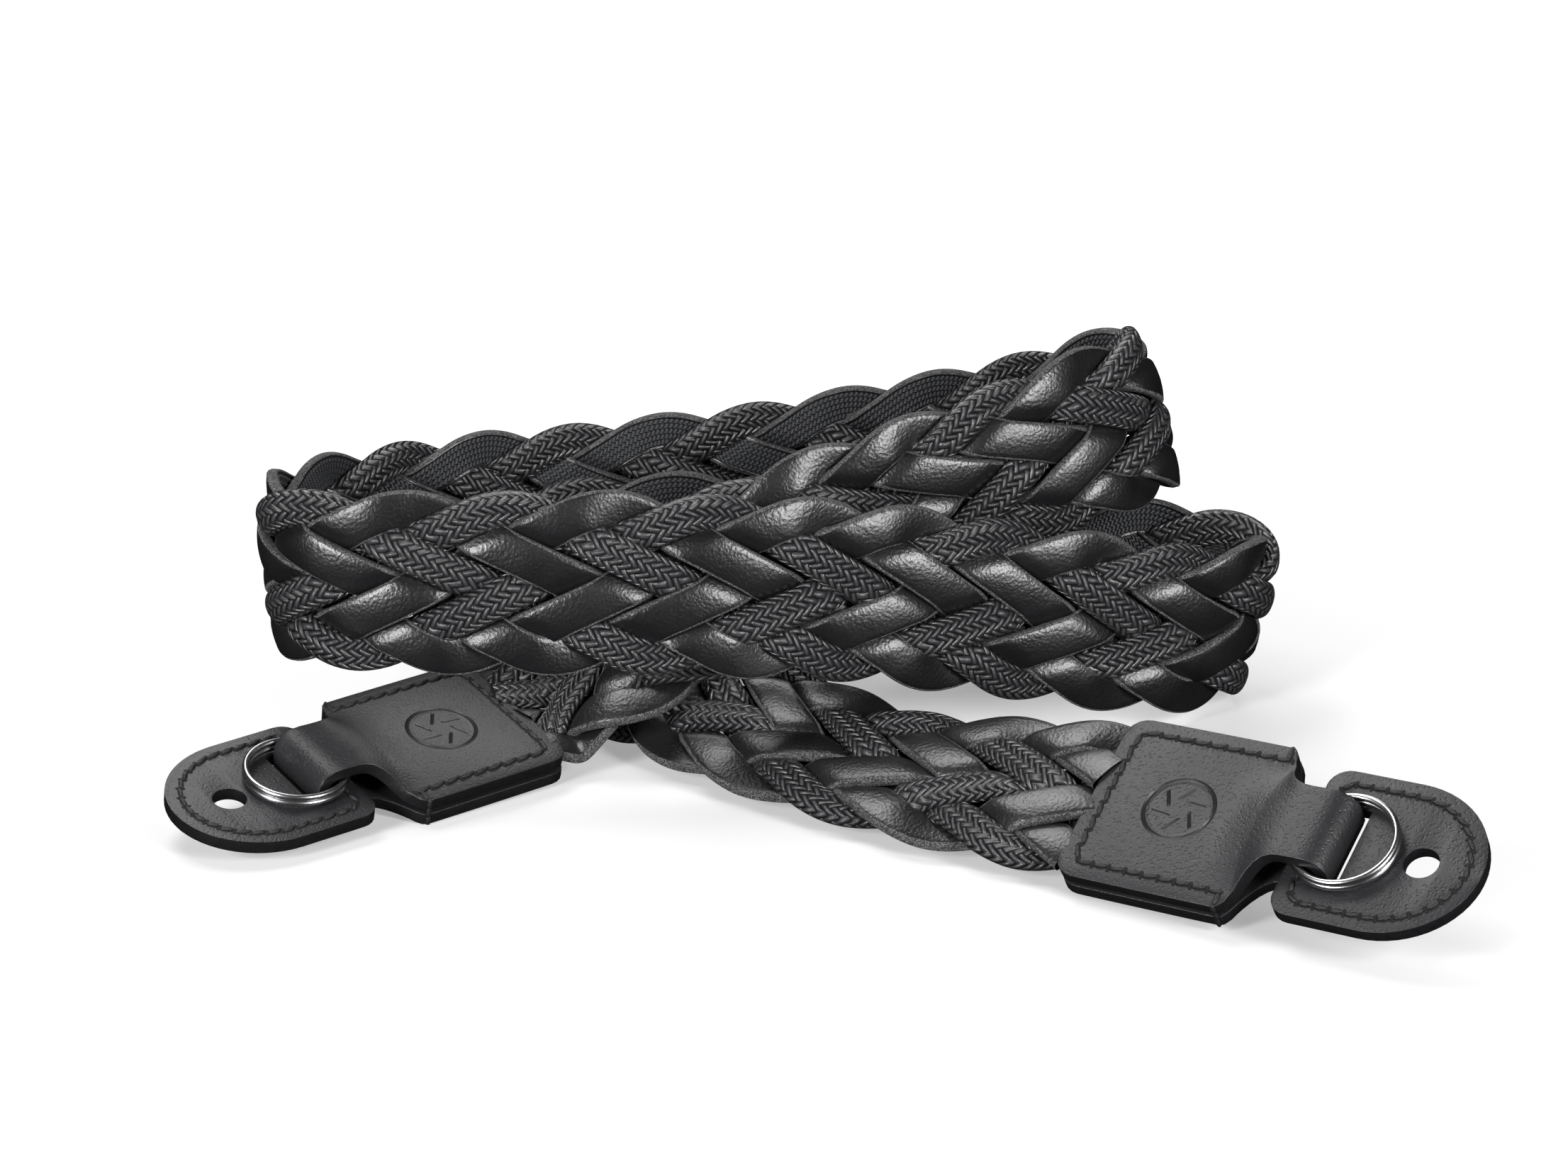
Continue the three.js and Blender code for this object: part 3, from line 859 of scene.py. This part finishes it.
for end, matrix in ENDS.items():
    piece = leather_tab(f"{end}_leather_tab")
    settle(piece, matrix)
    declare(piece, f"{end}_end_tab")
    print(piece.name, "has", len(piece.data.polygons), "faces")

# %% [markdown]
# ## The split ring
# A split ring is a wire wound twice round. A small circle is swept by a Screw modifier: almost
# a full turn level, a short climb by one wire, and a level turn again. The climb is hidden
# inside the leather fold, and the wire's two ends stay open as on the real ring.

# %% Wind the wire
WIRE_SIDES = 14
TURN_START, CLIMB = 186, 14


def wire_turn(start, sweep, height, climb, steps):
    bpy.ops.object.select_all(action="DESELECT")
    bpy.ops.mesh.primitive_circle_add(vertices=WIRE_SIDES, radius=RING_WIRE / 2 * MM)
    turn = bpy.context.object
    bpy.ops.object.mode_set(mode="EDIT")
    bpy.ops.transform.rotate(value=math.pi / 2, orient_axis="X", center_override=(0, 0, 0))
    bpy.ops.transform.translate(value=((RING_OUTER - RING_WIRE) / 2 * MM, 0, 0))
    bpy.ops.object.mode_set(mode="OBJECT")
    screw = {"angle": math.radians(sweep), "screw_offset": climb * MM, "steps": steps}
    apply_modifier(turn, "Wind", "SCREW", render_steps=steps, axis="Z", **screw)
    turned = Matrix.Rotation(math.radians(start), 4, "Z")
    turn.matrix_world = Matrix.Translation((0, 0, height * MM)) @ turned
    return turn


def split_ring(name):
    low, high = RING_LOW + RING_WIRE / 2, RING_LOW + RING_WIRE * 1.5
    first = wire_turn(TURN_START, sweep=360 - CLIMB, height=low, climb=0, steps=90)
    step_up = wire_turn(TURN_START - CLIMB, sweep=CLIMB, height=low, climb=RING_WIRE, steps=8)
    second = wire_turn(TURN_START, sweep=340, height=high, climb=0, steps=90)
    piece = join_all([first, step_up, second])
    bpy.ops.object.mode_set(mode="EDIT")
    bpy.ops.mesh.select_all(action="SELECT")
    bpy.ops.mesh.remove_doubles(threshold=0.02 * MM)
    bpy.ops.mesh.select_all(action="DESELECT")
    bpy.ops.mesh.select_non_manifold()
    bpy.ops.mesh.edge_face_add()
    bpy.ops.mesh.select_all(action="SELECT")
    bpy.ops.mesh.normals_make_consistent(inside=False)
    bpy.ops.transform.translate(value=(FOLD_END * MM, 0, 0))
    bpy.ops.object.mode_set(mode="OBJECT")
    bpy.ops.object.shade_smooth_by_angle(angle=math.radians(50))
    piece.name = name
    piece.data.materials.clear()
    piece.data.materials.append(steel)
    return piece


for end, matrix in ENDS.items():
    piece = split_ring(f"{end}_wound_ring")
    settle(piece, matrix)
    declare(piece, f"{end}_split_ring")
    print(piece.name, "has", len(piece.data.polygons), "faces")

# %% [markdown]
# ## The ring guard
# The guard is a flat leather leaf that keeps the ring off the camera. It has a square end with
# round corners by the tab and an oval far end. Its outline is extruded like the tab's, and a
# box and a cylinder cut the slot for the neck and the round hole.

# %% Cut the guards
GUARD_LONG, GUARD_WIDE, GUARD_CORNER, GUARD_BEFORE_SLOT = 35.0, 33.0, 4.0, 6.5
SLOT_NEAR, SLOT_FAR, SLOT_PLAY = FOLD_END - LAYER - CLEAR, FOLD_END + 1.6, 1.2
GUARD_NEAR = SLOT_NEAR - GUARD_BEFORE_SLOT
GUARD_MIDDLE = (GUARD_LOW + GUARD_HIGH) / 2
OVAL_X, OVAL_LONG = GUARD_NEAR + GUARD_LONG / 2, GUARD_LONG / 2
HOLE_FROM_FOLD, HOLE_RADIUS = 14.5, 3.25
CUT_DEEP = 0.02


def guard_half_width(x, inset=0.0):
    """Half the guard's width at x, for its outline or for a line drawn inside it."""
    near, corner, half = GUARD_NEAR + inset, GUARD_CORNER - inset * 0.4, GUARD_WIDE / 2 - inset
    if x < near + corner:
        return half - corner + math.sqrt(max(corner**2 - (near + corner - x) ** 2, 0))
    if x > OVAL_X:
        return half * math.sqrt(max(1 - ((x - OVAL_X) / (OVAL_LONG - inset)) ** 2, 0))
    return half


def slot_cutter():
    middle_x = (SLOT_NEAR + SLOT_FAR) / 2 * MM
    bpy.ops.mesh.primitive_cube_add(size=1, location=(middle_x, 0, GUARD_MIDDLE * MM))
    slot = bpy.context.object
    slot.scale = ((SLOT_FAR - SLOT_NEAR) * MM, (NECK_WIDE + SLOT_PLAY) * MM, CUT_DEEP)
    return slot


def hole_cutter():
    hole = {"vertices": 40, "radius": HOLE_RADIUS * MM, "depth": CUT_DEEP}
    hole_x = (FOLD_END + HOLE_FROM_FOLD) * MM
    bpy.ops.mesh.primitive_cylinder_add(location=(hole_x, 0, 0), **hole)
    return bpy.context.object


def ring_guard(name):
    xs = [GUARD_NEAR + GUARD_CORNER * (1 - math.cos(math.radians(a))) for a in range(0, 91, 15)]
    xs += [OVAL_X + OVAL_LONG * math.sin(math.radians(a)) for a in [*range(0, 85, 6), 85, 88]]
    piece = extruded_strip([(x, GUARD_MIDDLE, guard_half_width(x)) for x in xs], 2)
    apply_modifier(piece, "Leather", "SOLIDIFY", thickness=GUARD_THICK * MM, offset=0)
    for tool in (slot_cutter(), hole_cutter()):
        apply_modifier(piece, "Cut", "BOOLEAN", object=tool, operation="DIFFERENCE", solver="EXACT")
        bpy.data.objects.remove(tool)
    rounding = {"width": 0.45 * MM, "segments": 3, "limit_method": "ANGLE"}
    apply_modifier(piece, "Round", "BEVEL", angle_limit=math.radians(50), **rounding)
    piece.name = name
    piece.data.materials.append(tab_leather)
    piece.data.materials.append(tab_edge)
    for face in piece.data.polygons:
        face.material_index = 1 if abs(face.normal.z) < 0.75 else 0
    bpy.ops.object.shade_smooth_by_angle(angle=math.radians(45))
    return piece


for end, matrix in ENDS.items():
    piece = ring_guard(f"{end}_guard_leaf")
    settle(piece, matrix)
    declare(piece, f"{end}_ring_guard")
    print(piece.name, "has", len(piece.data.polygons), "faces")

# %% [markdown]
# ## Stitches
# Waxed thread runs round each tab and each guard. One stitch is modelled once, as a ball drawn
# out to a bead, and the shade in one needle hole as a flat dark bead, which is painted shade.
# Copies are set along the sewing line, each turned slightly across it as hand stitches are. On
# the tabs a few stitches also wrap the cut edge at the shoulders.

# %% One stitch and its copies
STITCH_SHARE, THREAD_THICK = 0.86, 1.0
HOLE_SHADE_SIZE = (1.0, 1.9, 0.3)
STITCH_SLANT, STITCH_WOBBLE = 0.16, 0.04
STITCH_PROUD, HOLE_SHADE_PROUD = 0.12, 0.02


def bead(long, wide, high):
    bpy.ops.object.select_all(action="DESELECT")
    bpy.ops.mesh.primitive_uv_sphere_add(segments=14, ring_count=8, radius=1)
    piece = bpy.context.object
    bpy.ops.object.mode_set(mode="EDIT")
    bpy.ops.transform.resize(value=(long / 2 * MM, wide / 2 * MM, high / 2 * MM))
    bpy.ops.object.mode_set(mode="OBJECT")
    bpy.ops.object.shade_smooth()
    return piece


def along_line(line, pitch):
    """Middle, direction and start of each stitch on a line of (x, y) points."""
    line = np.array(line, float)
    lengths = np.concatenate([[0], np.cumsum(np.linalg.norm(np.diff(line, axis=0), axis=1))])
    count = max(round(lengths[-1] / pitch), 1)
    each = lengths[-1] / count
    at = lambda d: np.array([np.interp(d, lengths, line[:, 0]), np.interp(d, lengths, line[:, 1])])
    places = (np.arange(count) + 0.5) * each
    return [(at(d), at(d + 0.2) - at(d - 0.2), at(d - each / 2)) for d in places]


def sew(name, rows, pitch, extra=()):
    """Stitches along rows of (line, height, side), and extra ones with their own turns."""
    stitch, hole = bead(pitch * STITCH_SHARE, THREAD_THICK, THREAD_THICK), bead(*HOLE_SHADE_SIZE)
    stitch.data.materials.append(thread)
    hole.data.materials.append(hole_shade)
    copies = []

    def put(model, x, y, z, turn, upright=0.0):
        copy = model.copy()
        copy.data = model.data.copy()
        bpy.context.collection.objects.link(copy)
        lie = Matrix.Rotation(turn, 4, "Z") @ Matrix.Rotation(upright, 4, "Y")
        copy.matrix_world = Matrix.Translation((x * MM, y * MM, z * MM)) @ lie
        copies.append(copy)

    for line, height, side in rows:
        for (x, y), way, (hx, hy) in along_line(line, pitch):
            wobble = random.uniform(-STITCH_WOBBLE, STITCH_WOBBLE)
            turn = math.atan2(way[1], way[0]) + STITCH_SLANT * side + wobble
            put(stitch, x, y, height(x, y) + side * STITCH_PROUD, turn)
            # A flat dark bead at each needle hole paints the shade in the hole.
            put(hole, hx, hy, height(hx, hy) + side * HOLE_SHADE_PROUD, turn)
    for place_and_turns in extra:
        put(stitch, *place_and_turns)
    for model in (stitch, hole):
        bpy.data.objects.remove(model)
    piece = join_all(copies)
    piece.name = name
    return piece


# %% [markdown]
# The tab's sewing line lies 3.2 mm inside its edge, along both sides and the plait's end, on
# both faces. The guard's line follows its outline all the way round, also on both faces. Each
# line is drawn for one half and mirrored. The height functions keep the stitches on the
# swollen leather.

# %% Sewing lines
TAB_INSET, GUARD_INSET, BEND = 3.2, 2.9, 2.4
TAB_PITCH, GUARD_PITCH = 3.3, 3.0
side_y = TAB_WIDE / 2 - TAB_INSET


def there_and_back(half_line):
    return half_line + [(x, -y) for x, y in reversed(half_line)]


tab_half = [(SHOULDER - 0.6, side_y), (TAB_INSET + BEND, side_y)]
for a in np.radians([75, 50, 25, 0]):
    x, y = TAB_INSET + BEND * (1 - math.cos(a)), side_y - BEND * (1 - math.sin(a))
    tab_half.append((x, y))
guard_xs = [GUARD_NEAR + GUARD_INSET + 0.01] + [GUARD_NEAR + x for x in (3.5, 4.6, 5.6)]
reach = OVAL_LONG - GUARD_INSET
guard_xs += [OVAL_X + reach * math.sin(math.radians(a)) for a in range(0, 91, 6)]
guard_half = [(x, guard_half_width(x, GUARD_INSET)) for x in guard_xs]
tab_line = there_and_back(tab_half)
guard_line = there_and_back([(GUARD_NEAR + GUARD_INSET, 0)] + guard_half)

tab_rows = [
    (tab_line, lambda x, y: TAB_THICK / 2 + front_puff(x, y), 1),
    (tab_line, lambda x, y: -TAB_THICK / 2 - puff(x, y), -1),
]
guard_rows = [
    (guard_line, lambda x, y: GUARD_HIGH, 1),
    (guard_line, lambda x, y: GUARD_LOW, -1),
]
# Stitches that wrap the edge at a shoulder: three upright ones, and one across on each face.
wraps = []
for sign in (1, -1):
    edge = sign * (TAB_WIDE / 2 - 0.1)
    wraps += [(SHOULDER - 1.7, edge, z, 0, math.pi / 2) for z in (-1.9, -0.1, 1.7)]
    wraps += [(SHOULDER - 1.5, sign * (side_y + 1.4), z, math.pi / 2, 0) for z in (2.9, -2.9)]
for end, matrix in ENDS.items():
    seam = sew(f"{end}_tab_stitches", tab_rows, TAB_PITCH, wraps)
    settle(seam, matrix)
    declare(seam, None)
    print(seam.name, "has", len(seam.data.polygons), "faces")
    seam = sew(f"{end}_guard_stitches", guard_rows, GUARD_PITCH)
    settle(seam, matrix)
    declare(seam, None)
    print(seam.name, "has", len(seam.data.polygons), "faces")

# %% [markdown]
# ## Table and light
# The strap lies on a plain white table in a dim room, as in a product studio: black leather only
# looks black and glossy when it mirrors darkness with a few bright soft boxes in it. One box
# hangs above, two stand in front at the sides, and a wide one stands high behind for the flat
# tabs. The table glows, which is painted light: dimly near the strap, so that its shadows show,
# and fully white further out, so that it stays white. It isn't mirrored in the leather.

# %% Stage
AIM = (0, 0.02, 0.035)
# Each soft box: name, place, width and height in metres, and power in watts.
SOFT_BOXES = [
    ("overhead", (-0.3, 0.3, 0.8), (0.5, 0.35), 4.2),
    ("front_left", (-0.62, -0.66, 0.36), (0.26, 0.42), 10.0),
    ("front_right", (0.62, -0.62, 0.4), (0.26, 0.42), 9.0),
    ("behind", (0.0, 0.88, 0.68), (0.8, 0.42), 4.6),
]
GLOW_FROM, GLOW_RISE = 0.12, 2.6
GLOW_NEAR, GLOW_FAR = (0.34, 0.34, 0.34), (1.0, 1.0, 1.0)
SKY = {"From Min": -0.15, "From Max": 0.5, "To Min": 0.03, "To Max": 0.2}


def soft_light(name, place, size, power):
    data = bpy.data.lights.new(name, "AREA")
    data.shape, data.size, data.size_y, data.energy = "RECTANGLE", size[0], size[1], power
    light = bpy.data.objects.new(name, data)
    bpy.context.collection.objects.link(light)
    light.location = place
    light.rotation_euler = (Vector(AIM) - Vector(place)).to_track_quat("-Z", "Y").to_euler()


bpy.ops.object.select_all(action="DESELECT")
bpy.ops.mesh.primitive_plane_add(size=6, location=(0, 0, 0))
floor = bpy.context.object
floor.name = "white_table"
table_look = {"Base_Color": (0.56, 0.56, 0.56, 1), "Roughness": 0.9, "Emission_Strength": 1.0}
table = Finish("white_table", **table_look)
# The glow is painted light on the table: dim near the middle, rising to full white further out.
spread = table.node("ShaderNodeVectorMath", {"operation": "LENGTH"}, {0: table.place()}, 1)
glow = table.mix(((spread - GLOW_FROM) * GLOW_RISE).clamped(), GLOW_NEAR, GLOW_FAR)
floor.data.materials.append(table.link(Emission_Color=glow))
floor.visible_glossy = False
world = bpy.data.worlds.new("studio")
bpy.context.scene.world = world
world.use_nodes = True
sky, links = world.node_tree.nodes, world.node_tree.links
way, parts = sky.new("ShaderNodeTexCoord"), sky.new("ShaderNodeSeparateXYZ")
level = sky.new("ShaderNodeMapRange")
for name, value in SKY.items():
    level.inputs[name].default_value = value
links.new(way.outputs["Generated"], parts.inputs[0])
links.new(parts.outputs["Z"], level.inputs["Value"])
links.new(level.outputs["Result"], sky["Background"].inputs["Strength"])
for box in SOFT_BOXES:
    soft_light(*box)
print("soft boxes:", [name for name, *_ in SOFT_BOXES])

# %% [markdown]
# ## Camera
# The strap is seen from the front and from a little above, through a long lens at 75 cm, which
# keeps its lines calm. The camera aims at the coil's middle, so that strap and table fill the
# picture as in the photograph.

# %% Camera
CAMERA_DISTANCE, CAMERA_RISE, CAMERA_LENS, AIM_HIGH = 750.0, math.radians(20), 90.3, 40.3
target = Vector((SHIFT + np.array([0, 0, AIM_HIGH])) * MM)
camera_data = bpy.data.cameras.new("camera")
camera_data.lens = CAMERA_LENS
camera = bpy.data.objects.new("camera", camera_data)
bpy.context.collection.objects.link(camera)
back = Vector((0, -math.cos(CAMERA_RISE), math.sin(CAMERA_RISE)))
camera.location = target + back * CAMERA_DISTANCE * MM
camera.rotation_euler = (-back).to_track_quat("-Z", "Y").to_euler()
bpy.context.scene.camera = camera
bpy.context.scene.view_settings.view_transform = "Standard"
print("camera at", [round(v, 3) for v in camera.location])
